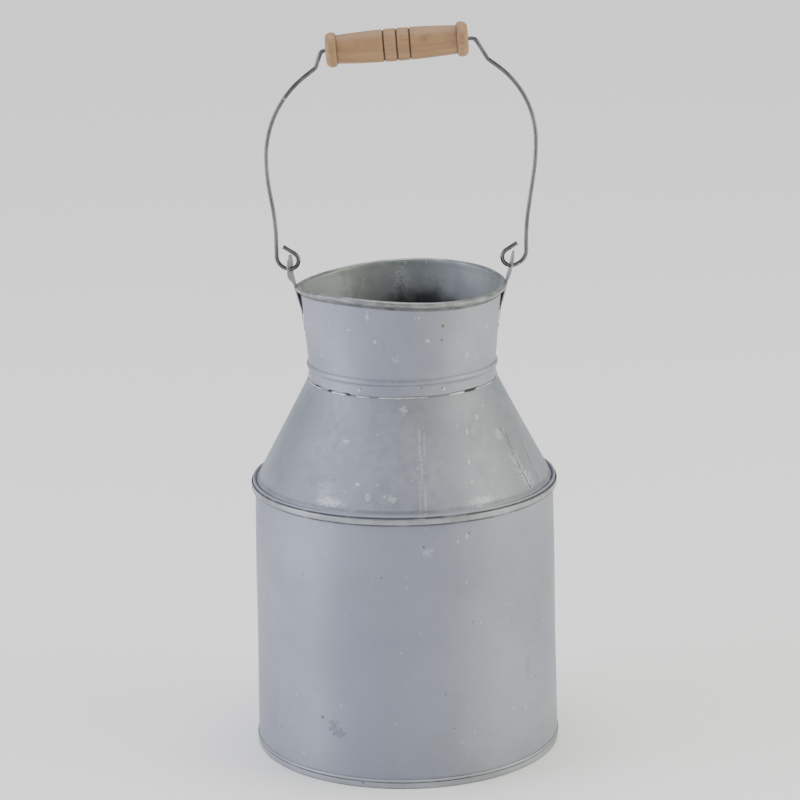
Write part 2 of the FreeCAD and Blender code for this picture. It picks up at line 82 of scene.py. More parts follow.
# Where the neck stands off the cone: middle, half-width
GAPS = ((-153, 5), (-138.5, 3), (-126, 4.5), (-45, 9))
# How the mouth strays from a level circle: turns, where it is most, by how much
MOUTH_REACH = ((2, 43, 0.4), (3, -20, 0.2))
MOUTH_SAG = ((0, 0, -2.2), (2, 57, 2.2), (3, -17, 0.5))


# ---------------------------------------------------------------- sheet-metal work

class CutLine:
    """A cut line in the XZ plane, drawn run by run and then spun into a sheet. Sizes in mm."""

    def __init__(self, reach, height):
        self.bm = bmesh.new()
        self.tip = self.bm.verts.new((reach * MM, 0, height * MM))

    def run(self, reach, height, cuts=1):
        """Straight on to a place, in equal pieces."""
        step = (Vector((reach * MM, 0, height * MM)) - self.tip.co) / cuts
        for _ in range(cuts):
            grown = bmesh.ops.extrude_vert_indiv(self.bm, verts=[self.tip])
            self.tip = grown["verts"][0]
            self.tip.co += step
        return self

    def through(self, *places):
        """Straight on through each (reach, height) in turn."""
        for place in places:
            self.run(*place)
        return self

    def bend(self, reach, height, degrees, steps=4):
        """Round a centre, clockwise as drawn when the angle is positive."""
        grown = bmesh.ops.spin(
            self.bm, geom=[self.tip], cent=(reach * MM, 0, height * MM), axis=(0, 1, 0),
            angle=math.radians(degrees), steps=steps, use_duplicate=False)
        self.tip = corners(grown["geom_last"])[0]
        return self

    def close(self):
        """Back to the first vertex, for a solid section."""
        self.bm.verts.ensure_lookup_table()
        self.bm.edges.new((self.tip, self.bm.verts[0]))
        return self

    def spun(self, towards, **turn):
        """The line spun about the can into a sheet that faces towards(place)."""
        spin_about_can(self.bm, **turn)
        face_along(self.bm, towards)
        return self.bm


def corners(items):
    """The corners among the items of a mesh."""
    return [item for item in items if isinstance(item, bmesh.types.BMVert)]


def spin_about_can(bm, start=0.0, sweep=360.0, steps=STEPS):
    """Turn everything drawn about the can's axis, from a start angle."""
    full = sweep >= 360
    geom = bm.verts[:] + bm.edges[:]
    bmesh.ops.rotate(bm, verts=bm.verts, cent=(0, 0, 0),
                     matrix=Matrix.Rotation(math.radians(start), 3, "Z"))
    bmesh.ops.spin(bm, geom=geom, cent=(0, 0, 0), axis=UP, angle=math.radians(sweep),
                   steps=steps, use_merge=full, use_duplicate=False)
    bmesh.ops.remove_doubles(bm, verts=bm.verts, dist=MERGE)


def face_along(bm, direction):
    """Point every face of a sheet the way that direction(place) says, as a whole."""
    bmesh.ops.recalc_face_normals(bm, faces=bm.faces)
    bm.normal_update()
    score = sum(f.normal.dot(direction(f.calc_center_median())) * f.calc_area() for f in bm.faces)
    if score < 0:
        bmesh.ops.reverse_faces(bm, faces=bm.faces)
    bm.normal_update()


def away_from_axis(place):
    """Outwards from the can's axis."""
    return Vector((place.x, place.y, 0)).normalized()


def give_thickness(bm, thickness):
    """Turn a sheet into a wall, grown to the side away from its faces' normals."""
    bmesh.ops.solidify(bm, geom=bm.faces[:], thickness=thickness * MM)
    bm.normal_update()


def double_up(bm, thickness):
    """Turn a bent strap into a bar, each corner's twin moved straight in."""
    bm.normal_update()
    facing = {tuple(v.co): v.normal.copy() for v in bm.verts}
    grown = bmesh.ops.extrude_face_region(bm, geom=bm.faces[:], use_keep_orig=True)["geom"]
    for v in corners(grown):
        v.co -= facing[tuple(v.co)] * thickness * MM
    bmesh.ops.recalc_face_normals(bm, faces=bm.faces)
    bm.normal_update()


def soften(bm, edges, offset, segments=2):
    """Round edges by an offset in mm."""
    bmesh.ops.bevel(bm, geom=edges, offset=offset * MM, offset_type="OFFSET", segments=segments,
                    profile=0.5, affect="EDGES", clamp_overlap=True, material=-1)


def soften_cut_edges(bm, offset, sharp=SHARP):
    """Round the cut edges of a piece of sheet."""
    soften(bm, [e for e in bm.edges if e.calc_face_angle(0) > sharp], offset)


def mesh_of(bm, name):
    """A mesh with the shape of bm, which is used up."""
    mesh = bpy.data.meshes.new(name)
    bm.to_mesh(mesh)
    bm.free()
    return mesh


def add_to(bm, other):
    """Add another shape, which is used up."""
    mesh = mesh_of(other, "spare")
    bm.from_mesh(mesh)
    bpy.data.meshes.remove(mesh)


def put_in_scene(name, data):
    """An object of this name, in the scene."""
    made = bpy.data.objects.new(name, data)
    bpy.context.scene.collection.objects.link(made)
    return made


def part(bm, name, body, material, crease=38):
    """Make the piece, shade it and let it ride on its body."""
    mesh = mesh_of(bm, name)
    piece = put_in_scene(name, mesh)
    mesh.shade_smooth()
    mesh.set_sharp_from_angle(angle=math.radians(crease))
    mesh.materials.append(material)
    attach(piece, body)
    return piece


def uneven(bm, amount, grain, seed=0.0, above=0.0):
    """Slight hand-worn unevenness, in and out from the can's axis."""
    for v in (v for v in bm.verts if v.co.z >= above * MM):
        push = noise.noise(v.co / (grain * MM) + Vector((seed, seed, seed)))
        v.co += away_from_axis(v.co) * push * amount * MM


def dent(bm, centre, reach, depth):
    """Press a soft hollow towards the axis."""
    centre = Vector(centre) * MM
    for v in bm.verts:
        near = 1 - (v.co - centre).length / (reach * MM)
        if near > 0:
            v.co -= away_from_axis(v.co) * near * near * (3 - 2 * near) * depth * MM


def settle(value, low, high):
    """0 below low, 1 above high, smooth between."""
    share = min(max((value - low) / (high - low), 0), 1)
    return share * share * (3 - 2 * share)


# ---------------------------------------------------------------- finishes

def group(name, inputs, outputs):
    """An empty node group with named sockets."""
    tree = bpy.data.node_groups.new(name, "ShaderNodeTree")
    for label, kind, value in inputs:
        socket = tree.interface.new_socket(name=label, in_out="INPUT", socket_type=kind)
        if value is not None:
            socket.default_value = value
    for label, kind in outputs:
        tree.interface.new_socket(name=label, in_out="OUTPUT", socket_type=kind)
    return tree, tree.nodes.new("NodeGroupInput"), tree.nodes.new("NodeGroupOutput")


def node(tree, kind, links=None, **settings):
    """Add a node, set it up and connect its inputs."""
    made = tree.nodes.new(kind)
    for key, value in settings.items():
        setattr(made, key, value)
    for key, value in (links or {}).items():
        if isinstance(value, bpy.types.NodeSocket):
            tree.links.new(value, made.inputs[key])
        else:
            made.inputs[key].default_value = value
    return made


def ramp(tree, source, low, high):
    """0 at low, 1 at high."""
    made = node(tree, "ShaderNodeMapRange", {"Value": source, "From Min": low, "From Max": high},
                interpolation_type="SMOOTHSTEP")
    return made.outputs["Result"]


def tint(tree, share, first, second):
    """The second colour over the first, by a share of 0 to 1."""
    made = node(tree, "ShaderNodeMix", {0: share, 6: first, 7: second}, data_type="RGBA")
    return made.outputs[2]


def sums(tree, operation, first, second):
    """One step of arithmetic."""
    made = node(tree, "ShaderNodeMath", {0: first, 1: second}, operation=operation)
    return made.outputs[0]


def times(tree, first, second):
    """The product of two values."""
    return sums(tree, "MULTIPLY", first, second)


def clouds(tree, place, scale, detail, roughness=0.5, distortion=0.0):
    """Soft random light and dark, 0 to 1."""
    made = node(tree, "ShaderNodeTexNoise", {
        "Vector": place, "Scale": scale, "Detail": detail, "Roughness": roughness,
        "Distortion": distortion})
    return made.outputs["Fac"]


def effect(tree, made_once, inputs):
    """Place a shared effect in a tree, with its own values."""
    return node(tree, "ShaderNodeGroup", inputs, node_tree=made_once)


def put_out(tree, out, **values):
    """Connect a group's outputs."""
    for label, value in values.items():
        tree.links.new(value, out.inputs[label])


# Patch mask for real stains and marks, and for painted shade and painted highlights
def build_stain_and_shade_patch():
    """A soft-edged patch round a place, its edge broken up."""
    tree, given, out = group("stain_and_shade_patch", [
        ("Place", "NodeSocketVector", None), ("Centre", "NodeSocketVector", (0, 0, 0)),
        ("Reach", "NodeSocketVector", (0.01, 0.01, 0.01)), ("Ragged", "NodeSocketFloat", 0.5),
        ("Grain", "NodeSocketFloat", 200.0)], [("Mask", "NodeSocketFloat")])
    ask = given.outputs
    off = node(tree, "ShaderNodeVectorMath", {0: ask["Place"], 1: ask["Centre"]}, operation="SUBTRACT")
    scaled = node(tree, "ShaderNodeVectorMath", {0: off.outputs[0], 1: ask["Reach"]}, operation="DIVIDE")
    far = node(tree, "ShaderNodeVectorMath", {0: scaled.outputs[0]}, operation="LENGTH")
    rough = clouds(tree, ask["Place"], ask["Grain"], 3.0)
    shift = times(tree, sums(tree, "SUBTRACT", rough, 0.5), ask["Ragged"])
    edge = sums(tree, "ADD", far.outputs["Value"], times(tree, shift, 4.0))
    put_out(tree, out, Mask=ramp(tree, edge, 1.15, 0.55))
    return tree


def build_specks():
    """Scattered small round marks."""
    tree, given, out = group("specks", [
        ("Place", "NodeSocketVector", None), ("Scale", "NodeSocketFloat", 200.0),
        ("Size", "NodeSocketFloat", 0.2), ("Share", "NodeSocketFloat", 0.2)],
        [("Mask", "NodeSocketFloat")])
    ask = given.outputs
    cells = node(tree, "ShaderNodeTexVoronoi", {"Vector": ask["Place"], "Scale": ask["Scale"]})
    chance = node(tree, "ShaderNodeSeparateColor", {"Color": cells.outputs["Color"]})
    chosen = sums(tree, "LESS_THAN", chance.outputs[0], ask["Share"])
    size = times(tree, ask["Size"], sums(tree, "ADD", chance.outputs[1], 0.4))
    inside = sums(tree, "SUBTRACT", 1.0, sums(tree, "DIVIDE", cells.outputs["Distance"], size))
    mask = node(tree, "ShaderNodeClamp", {"Value": times(tree, inside, 2.5)})
    put_out(tree, out, Mask=times(tree, mask.outputs[0], chosen))
    return tree


def build_zinc_bloom(specks):
    """Cloudy, dulled zinc with pale specks, small dark pits and faint runs."""
    tree, given, out = group("zinc_bloom", [
        ("Place", "NodeSocketVector", None), ("Light", "NodeSocketColor", (0.4, 0.4, 0.4, 1)),
        ("Dark", "NodeSocketColor", (0.2, 0.2, 0.2, 1)),
        ("Stain", "NodeSocketColor", (0.3, 0.3, 0.25, 1)),
        ("Cloud Scale", "NodeSocketFloat", 14.0), ("Stained", "NodeSocketFloat", 0.5),
        ("Dull", "NodeSocketFloat", 0.5)],
        [("Color", "NodeSocketColor"), ("Roughness", "NodeSocketFloat"), ("Height", "NodeSocketFloat")])
    ask = given.outputs
    place = ask["Place"]
    cloud = clouds(tree, place, ask["Cloud Scale"], 5.0, 0.55, 0.3)
    colour = tint(tree, ramp(tree, cloud, 0.28, 0.72), ask["Dark"], ask["Light"])
    mottle = clouds(tree, place, 160.0, 4.0, 0.6)
    shade = ramp(tree, mottle, 0.3, 0.7)
    mottled = tint(tree, shade, (0.12, 0.12, 0.12, 1), (0.75, 0.75, 0.76, 1))
    colour = tint(tree, 0.05, colour, mottled)
    drawn = node(tree, "ShaderNodeMapping", {"Vector": place, "Scale": (1.0, 1.0, 0.12)})
    runs = ramp(tree, clouds(tree, drawn.outputs[0], 95.0, 3.0), 0.52, 0.75)
    colour = tint(tree, times(tree, runs, 0.16), colour, ask["Light"])
    patchy = ramp(tree, clouds(tree, place, 26.0, 6.0, 0.62), 0.5, 0.72)
    colour = tint(tree, times(tree, patchy, ask["Stained"]), colour, ask["Stain"])
    pale, pits = [
        effect(tree, specks, {"Place": place, "Scale": scale, "Size": size, "Share": share})
        .outputs["Mask"] for scale, size, share in ((210.0, 0.22, 0.10), (150.0, 0.14, 0.07))]
    colour = tint(tree, times(tree, pale, 0.45), colour, (0.62, 0.63, 0.64, 1))
    colour = tint(tree, times(tree, pits, 0.55), colour, (0.07, 0.07, 0.075, 1))
    uneven_shine = times(tree, sums(tree, "SUBTRACT", shade, 0.5), 0.14)
    grain = clouds(tree, place, 900.0, 2.0)
    height = sums(tree, "ADD", times(tree, grain, 0.25), times(tree, mottle, 0.75))
    height = sums(tree, "SUBTRACT", height, times(tree, pits, 0.6))
    rough = sums(tree, "ADD", ask["Dull"], uneven_shine)
    put_out(tree, out, Color=colour, Roughness=rough, Height=height)
    return tree


def build_turned_wood():
    """Fine grain along the grip, with darker pores and worn-in dirt."""
    tree, given, out = group("turned_wood", [
        ("Place", "NodeSocketVector", None), ("Light", "NodeSocketColor", (0.4, 0.3, 0.2, 1)),
        ("Dark", "NodeSocketColor", (0.2, 0.12, 0.08, 1)),
        ("Dirt", "NodeSocketColor", (0.1, 0.08, 0.06, 1))],
        [("Color", "NodeSocketColor"), ("Roughness", "NodeSocketFloat"), ("Height", "NodeSocketFloat")])
    ask = given.outputs
    drawn = node(tree, "ShaderNodeMapping", {"Vector": ask["Place"], "Scale": (0.07, 1.0, 1.0)})
    figure = clouds(tree, drawn.outputs[0], 260.0, 6.0, 0.6, 0.4)
    colour = tint(tree, ramp(tree, figure, 0.34, 0.66), ask["Dark"], ask["Light"])
    bands = ramp(tree, clouds(tree, drawn.outputs[0], 80.0, 2.0), 0.5, 0.7)
    colour = tint(tree, times(tree, bands, 0.35), colour, ask["Dark"])
    flecks = ramp(tree, clouds(tree, drawn.outputs[0], 1100.0, 3.0), 0.60, 0.74)
    colour = tint(tree, times(tree, flecks, 0.5), colour, ask["Dirt"])
    worn = ramp(tree, clouds(tree, ask["Place"], 70.0, 5.0), 0.56, 0.74)
    colour = tint(tree, times(tree, worn, 0.45), colour, ask["Dirt"])
    rough = sums(tree, "ADD", 0.5, times(tree, figure, 0.2))
    height = sums(tree, "SUBTRACT", figure, times(tree, flecks, 0.6))
    put_out(tree, out, Color=colour, Roughness=rough, Height=height)
    return tree


def finish(name, metallic):
    """A material with its shader and the object's own coordinates."""
    material = bpy.data.materials.new(name)
    material.use_nodes = True
    tree = material.node_tree
    shader = tree.nodes["Principled BSDF"]
    shader.inputs["Metallic"].default_value = metallic
    place = tree.nodes.new("ShaderNodeTexCoord").outputs["Object"]
    return material, tree, shader, place


def dress(tree, shader, colour, made, relief_mm, strength):
    """Connect a colour and an effect's shine and fine relief to the shader."""
    tree.links.new(colour, shader.inputs["Base Color"])
    tree.links.new(made.outputs["Roughness"], shader.inputs["Roughness"])
    bump = node(tree, "ShaderNodeBump", {
        "Height": made.outputs["Height"], "Distance": relief_mm * MM, "Strength": strength})
    tree.links.new(bump.outputs[0], shader.inputs["Normal"])


def near_line(tree, along, at, half, soft):
    """1 within a half-width of a place along an axis, falling off to 0. Sizes in mm."""
    away = sums(tree, "ABSOLUTE", sums(tree, "SUBTRACT", along, at * MM), 0.0)
    return ramp(tree, away, half * MM, half * soft * MM)


stain_and_shade_patch = build_stain_and_shade_patch()
bloom = build_zinc_bloom(build_specks())
wood_grain = build_turned_wood()


def zinc(name, light, dark, cloud=14.0, dull=0.5, stained=0.3, metallic=0.6, patches=(), bands=(),
         relief_mm=0.05):
    """Weathered zinc with patches (centre, reach, colour, strength, ragged, grain) and bands
    (height, half-height, colour, strength) of its own, in mm; some of them are painted shade and painted
    highlights."""
    material, tree, shader, place = finish(name, metallic)
    made = effect(tree, bloom, {
        "Place": place, "Light": light, "Dark": dark, "Stain": GREENISH, "Cloud Scale": cloud,
        "Stained": stained, "Dull": dull})
    colour = made.outputs["Color"]
    for centre, reach, shade, strength, ragged, grain in patches:
        patch = effect(tree, stain_and_shade_patch, {
            "Place": place, "Centre": Vector(centre) * MM, "Reach": Vector(reach) * MM,
            "Ragged": ragged, "Grain": grain})
        colour = tint(tree, times(tree, patch.outputs["Mask"], strength), colour, shade)
    if bands:
        height = node(tree, "ShaderNodeSeparateXYZ", {"Vector": place}).outputs[2]
        broken = ramp(tree, clouds(tree, place, 75.0, 3.0), 0.22, 0.52)
    for middle, half, shade, strength in bands:
        mask = times(tree, near_line(tree, height, middle, half, 0.35), broken)
        colour = tint(tree, times(tree, mask, strength), colour, shade)
    dress(tree, shader, colour, made, relief_mm, 0.5)
    return material


PALE = (0.60, 0.61, 0.62, 1)
CHALK = (0.86, 0.87, 0.88, 1)
PITCH = (0.05, 0.05, 0.055, 1)
BLACK = (0.012, 0.012, 0.013, 1)
RUST = (0.17, 0.11, 0.035, 1)
GREENISH = (0.22, 0.25, 0.22, 1)
# Painted shade and painted reflection for the can's broad darker, bluer front
FRONT_SHADE = (0.225, 0.235, 0.315, 1)


def spot(centre, reach, colour, strength):
    """A small round mark, even-edged."""
    return centre, (reach, reach, reach), colour, strength, 0.3, 300


def round_the_neck(angle, half, height, tall):
    """Centre and reach of a patch on the neck's foot."""
    turn = math.radians(angle)
    wide = math.radians(half) * NECK
    return (NECK * math.cos(turn), NECK * math.sin(turn), height), (wide, wide, tall)


body_zinc = zinc(
    "body_zinc", (0.325, 0.34, 0.40, 1), (0.262, 0.277, 0.335, 1), cloud=11.0, dull=0.56,
    patches=[
        # a scuff, then drips
        ((-53.0, -98.3, 42.5), (4.0, 4.0, 6.0), PITCH, 0.42, 1.0, 420),
        ((-48.5, -100.6, 37.5), (4.5, 4.5, 3.2), PITCH, 0.38, 1.0, 420),
        ((43.5, -100.9, 185.1), (1.1, 1.1, 2.6), CHALK, 0.35, 0.5, 400),
        ((37.0, -103.4, 182.3), (1.2, 1.2, 1.6), CHALK, 0.35, 0.5, 400),
        ((15.5, -108.8, 176.0), (4.0, 4.0, 3.2), CHALK, 0.32, 1.1, 500),
        # a dull stain, a broad darker and bluer front that is painted shade and painted reflection, and
        # pits
        ((87.0, -69.3, 75.3), (4.0, 4.0, 8.0), (0.23, 0.26, 0.22, 1), 0.35, 0.8, 200),
        ((-8.0, -112.0, 100.0), (72.0, 44.0, 190.0), FRONT_SHADE, 0.42, 0.12, 20),
        spot((-61.6, -93.0, 48.5), 1.5, PITCH, 0.6),
        spot((12.8, -109.1, 180.1), 1.2, PITCH, 0.6),
        spot((44.9, -100.2, 187.0), 1.2, PITCH, 0.6),
        spot((-17.2, -108.8, 157.7), 0.9, PITCH, 0.6),
    ],
    # the bands are painted shade: under the seam ring's lower edge and in the crease above the base's
    # lip
    bands=[(RING_FOOT - 0.5, 1.1, BLACK, 0.6), (7.2, 0.9, PITCH, 0.2)])
cone_zinc = zinc(
    "cone_zinc", (0.325, 0.34, 0.40, 1), (0.262, 0.277, 0.335, 1), cloud=15.0, dull=0.58,
    stained=0.3,
    patches=[
        # broad darker sides, painted shade on the cone's upward slope
        ((-72.0, -52.0, 238.0), (46.0, 48.0, 54.0), (0.19, 0.21, 0.235, 1), 0.55, 0.12, 20),
        ((70.0, -56.0, 238.0), (40.0, 44.0, 50.0), (0.21, 0.225, 0.25, 1), 0.32, 0.12, 20),
        # pale streaks down the front
        ((11.2, -84.0, 247.0), (0.9, 12.0, 13.0), PALE, 0.32, 0.7, 500),
        ((12.4, -92.0, 231.0), (1.0, 12.0, 14.0), PALE, 0.26, 0.8, 500),
        ((14.6, -101.0, 213.0), (1.0, 12.0, 14.0), PALE, 0.32, 0.8, 500),
        ((14.6, -84.0, 246.0), (0.8, 12.0, 10.0), PALE, 0.24, 0.9, 500),
        ((11.0, -101.0, 213.0), (0.8, 12.0, 12.0), PALE, 0.26, 0.9, 500),
        # rubbed places above the ring, with painted highlights as pale grainy glints
        ((-52.0, -89.5, 208.5), (9.0, 10.0, 2.8), PALE, 0.6, 1.2, 700),
        ((-54.0, -85.0, 214.0), (7.0, 8.0, 8.0), PALE, 0.22, 1.5, 900),
        ((54.0, -90.0, 207.5), (9.0, 10.0, 2.6), PALE, 0.55, 1.2, 700),
        # drips and scratches
        ((-32.6, -92.2, 221.6), (1.5, 1.5, 1.3), CHALK, 0.5, 0.6, 500),
        ((-8.8, -101.4, 213.0), (2.6, 2.6, 2.2), CHALK, 0.3, 0.9, 600),
        ((-40.0, -73.0, 248.0), (3.6, 2.0, 1.2), CHALK, 0.28, 0.8, 500),
        ((45.1, -67.8, 252.7), (0.9, 2.0, 3.6), CHALK, 0.34, 0.6, 500),
        ((46.0, -79.0, 233.7), (1.2, 2.0, 3.0), CHALK, 0.3, 0.7, 500),
        ((52.6, -57.1, 260.0), (1.2, 2.0, 2.6), CHALK, 0.3, 0.7, 500),
        # wear along the lap
        ((68.0, -51.5, 245.0), (4.0, 3.0, 6.0), PALE, 0.3, 1.3, 500),
        ((79.5, -52.5, 226.0), (4.0, 4.0, 9.0), PALE, 0.28, 1.3, 500),
        ((87.0, -52.0, 211.0), (6.0, 6.0, 7.0), PALE, 0.4, 1.3, 500),
        # a ring-shaped drip, and one under the neck
        ((-25.7, -98.7, 213.9), (2.2, 2.2, 2.6), CHALK, 0.42, 0.3, 500),
        ((-25.7, -98.7, 213.9), (1.3, 1.3, 1.5), PITCH, 0.4, 0.3, 500),
        ((0.0, -72.4, 270.1), (2.8, 2.8, 3.0), CHALK, 0.3, 0.9, 500),
    # black where the neck stands off the cone: painted shade in the gaps
    ] + [(*round_the_neck(middle, half * 1.1, NECK_FOOT + 0.1, 1.1), BLACK, 0.95, 0.15, 300)
         for middle, half in GAPS],
    # the bands are painted shade: in the gutter, on the cone's foot just above the seam, in the gap
    # behind the seam band's top and in the corner under the neck's edge
    bands=[(RING_TOP - 1.4, 0.9, BLACK, 0.5), (RING_TOP + 1.5, 1.5, PITCH, 0.3),
           (RING_FOOT + 5.1, 0.5, BLACK, 0.7), (NECK_FOOT - 0.2, 0.7, PITCH, 0.5)])
neck_zinc = zinc(
    "neck_zinc", (0.325, 0.34, 0.40, 1), (0.255, 0.27, 0.325, 1), cloud=18.0, dull=0.55,
    stained=0.25,
    patches=[
        # two rust spots, then drips, a dark run and a broad darker and bluer front that is painted shade
        # and painted reflection
        ((29.1, -65.2, 328.7), (1.2, 1.2, 1.5), RUST, 0.9, 0.3, 500),
        ((28.3, -64.7, 318.5), (1.2, 1.2, 1.4), RUST, 0.85, 0.3, 500),
        ((60.6, -36.6, 321.6), (0.8, 0.8, 1.4), CHALK, 0.6, 0.2, 300),
        ((-24.2, -67.9, 336.8), (1.2, 1.2, 3.4), CHALK, 0.4, 0.7, 500),
        ((-37.1, -60.7, 326.0), (1.2, 1.2, 1.2), CHALK, 0.45, 0.6, 500),
        ((-18.9, -68.0, 318.7), (1.1, 1.1, 1.3), CHALK, 0.5, 0.5, 500),
        ((18.4, -68.2, 318.8), (1.9, 1.9, 1.6), CHALK, 0.5, 0.7, 500),
        ((12.3, -70.9, 336.1), (0.8, 0.8, 1.0), CHALK, 0.45, 0.4, 500),
        ((-4.4, -69.4, 305.7), (2.4, 1.5, 2.4), CHALK, 0.2, 1.2, 500),
        ((46.1, -52.0, 304.6), (1.8, 1.5, 1.8), CHALK, 0.2, 1.0, 500),
        ((-12.7, -69.0, 313.0), (0.6, 1.5, 7.0), PITCH, 0.22, 0.6, 400),
        ((-6.0, -70.0, 320.0), (46.0, 34.0, 60.0), FRONT_SHADE, 0.28, 0.12, 20),
    ],
    # the bands are painted shade: at the neck's foot and under its bead
    bands=[(NECK_FOOT + 0.2, 0.7, PITCH, 0.5), (BEAD - 1.9, 0.8, PITCH, 0.1)])
inside_zinc = zinc(
    "inside_zinc", (0.36, 0.38, 0.40, 1), (0.27, 0.285, 0.30, 1), cloud=30.0, dull=0.6,
    stained=0.4,
    patches=[
        ((0.0, 70.0, 334.0), (4.5, 6.0, 14.0), PALE, 0.4, 1.2, 420),
        ((0.0, 70.0, 326.0), (3.0, 6.0, 10.0), PITCH, 0.5, 1.2, 420),
        # painted light, greenish grey, on the upper inner wall left and right
        ((-58.0, 34.0, 334.0), (30.0, 46.0, 20.0), (0.54, 0.58, 0.61, 1), 0.6, 0.3, 110),
        ((64.0, 22.0, 334.0), (14.0, 40.0, 18.0), (0.52, 0.55, 0.53, 1), 0.35, 0.3, 110),
        # painted shade deep inside the can
        ((17.0, 62.0, 302.0), (40.0, 30.0, 28.0), BLACK, 0.88, 0.16, 70),
    ],
    bands=[(BEAD - 1.9, 1.2, BLACK, 0.6)])
# Darker zinc for the band just under the rolled rim: painted shade
under_roll_shade = zinc("under_roll_shade", (0.17, 0.18, 0.19, 1), (0.05, 0.052, 0.058, 1), cloud=70.0,
                  dull=0.6)
rim_zinc = zinc(
    "rim_zinc", (0.27, 0.28, 0.285, 1), (0.13, 0.135, 0.145, 1), cloud=85.0, dull=0.42,
    stained=0.5, metallic=0.5, relief_mm=0.3,
    patches=[
        ((38.6, 65.7, 348.0), (1.8, 1.8, 2.4), (0.5, 0.42, 0.2, 1), 0.8, 0.2, 300),
        ((14.3, 74.6, 347.0), (1.6, 1.6, 2.4), PITCH, 0.8, 0.2, 300),
        ((-64.7, -36.2, 347.5), (1.2, 1.2, 4.0), PITCH, 0.8, 0.3, 300),
    ])
# its bands are painted shade, in the groove above the lip and along the bottom edge
base_zinc = zinc("base_zinc", (0.40, 0.415, 0.45, 1), (0.31, 0.325, 0.36, 1), cloud=16.0,
                 dull=0.52, bands=[(4.65, 0.5, BLACK, 0.45), (0.2, 0.6, PITCH, 0.5)])
# its bands are painted shade, under the band's lower edge and in the gap at its top
ring_zinc = zinc("ring_zinc", (0.35, 0.365, 0.39, 1), (0.20, 0.21, 0.23, 1), cloud=34.0, dull=0.42,
                 bands=[(RING_FOOT + 0.3, 0.9, BLACK, 0.75), (RING_FOOT + 4.7, 0.4, BLACK, 0.5)])
strap_zinc = zinc("strap_zinc", (0.38, 0.39, 0.42, 1), (0.24, 0.25, 0.27, 1), cloud=30.0,
                  dull=0.42)
rivet_zinc = zinc("rivet_zinc", (0.46, 0.47, 0.50, 1), (0.30, 0.31, 0.33, 1), cloud=90.0,
                  dull=0.45)
dull_solder = zinc("dull_solder", (0.62, 0.63, 0.64, 1), (0.42, 0.43, 0.44, 1), cloud=60.0,
                   dull=0.42, stained=0.2, relief_mm=0.12)


def worn_wire():
    """Drawn wire, dark in its hollows and rubbed bright."""
    material, tree, shader, place = finish("worn_wire", 0.9)
    made = effect(tree, bloom, {
        "Place": place, "Light": (0.16, 0.165, 0.175, 1), "Dark": (0.09, 0.092, 0.10, 1),
        "Stain": (0.08, 0.08, 0.08, 1), "Cloud Scale": 45.0, "Stained": 0.3, "Dull": 0.26})
    dress(tree, shader, made.outputs["Color"], made, 0.04, 0.5)
    return material


def grip_wood():
    """Bare turned wood, greyed and rubbed."""
    material, tree, shader, place = finish("grip_wood", 0.0)
    tilt = math.atan2(GRIP_AXIS.z, GRIP_AXIS.x)
    laid = node(tree, "ShaderNodeMapping", {"Vector": place, "Location": -GRIP_CENTRE},
                vector_type="POINT")
    turned = node(tree, "ShaderNodeMapping", {"Vector": laid.outputs[0], "Rotation": (0, tilt, 0)})
    made = effect(tree, wood_grain, {
        "Place": turned.outputs[0], "Light": (0.37, 0.215, 0.108, 1), "Dark": (0.285, 0.16, 0.077, 1),
        "Dirt": (0.12, 0.07, 0.04, 1)})
    colour = made.outputs["Color"]
    along = node(tree, "ShaderNodeSeparateXYZ", {"Vector": turned.outputs[0]}).outputs[0]
    scored = [(at, 0.85, 0.85) for at in RINGS]
    beside_beads = [(at, 0.8, 0.45) for at in (-42.6, 42.6)]
    for at, half, strength in scored + beside_beads:
        groove = near_line(tree, along, at, half, 0.4)
        colour = tint(tree, times(tree, groove, strength), colour, (0.055, 0.032, 0.018, 1))
    dress(tree, shader, colour, made, 0.08, 0.4)
    return material


# Near-black for the wedges behind the straps: painted shadow
shadow_black = zinc("shadow_black", (0.02, 0.02, 0.021, 1), (0.008, 0.008, 0.009, 1), dull=0.8,
                  stained=0.0, metallic=0.0)
wire_steel = worn_wire()
wood = grip_wood()


# ---------------------------------------------------------------- the can

def can_body():
    """Tapered wall of the body."""
    line = CutLine(112.15, 1.0).run(RING - 2.7, RING_FOOT + 0.4, cuts=28)
    line.run(RING - 2.7, RING_TOP - 1.5, cuts=3)
    bm = line.spun(away_from_axis)
    uneven(bm, 0.35, 55)
    dent(bm, (-70, -86, 60), 45, 0.5)
    dent(bm, (60, -92, 120), 60, 0.5)
    give_thickness(bm, SHEET)
    return part(bm, "can_body", "can", body_zinc)


def side_seam():
    """Lapped and soldered seam up the back of the body."""
    line = CutLine(112.95, 10.5).run(RING - 1.9, RING_FOOT - 4, cuts=24)
    bm = line.spun(away_from_axis, start=88.5, sweep=3.0, steps=4)
    give_thickness(bm, 0.9)
    soften_cut_edges(bm, 0.25)
    uneven(bm, 0.3, 18)
    return part(bm, "side_seam", "can", body_zinc)


def base_ring():
    """Raised bottom whose edge is folded up round the body, with a lip above its plain band."""
    line = CutLine(0, 4.7).run(60, 4.5, cuts=8).run(104, 4.9, cuts=6).run(110.6, 4.7, cuts=2)
    line.through((111.2, 0.5), (111.7, 0.02), (112.4, 0.02), (BASE - 0.45, 0.6))
    line.run(BASE - 0.4, 4.35, cuts=3)
    line.through((BASE - 1.0, 4.7), (BASE - 0.35, 5.05), (BASE - 0.05, 5.6), (BASE - 0.25, 6.3),
                 (BASE - 1.0, 6.65))
    bm = line.spun(lambda place: away_from_axis(place) - UP)
    uneven(bm, 0.12, 30)
    give_thickness(bm, 0.5)
    return part(bm, "base_ring", "can", base_zinc, crease=50)


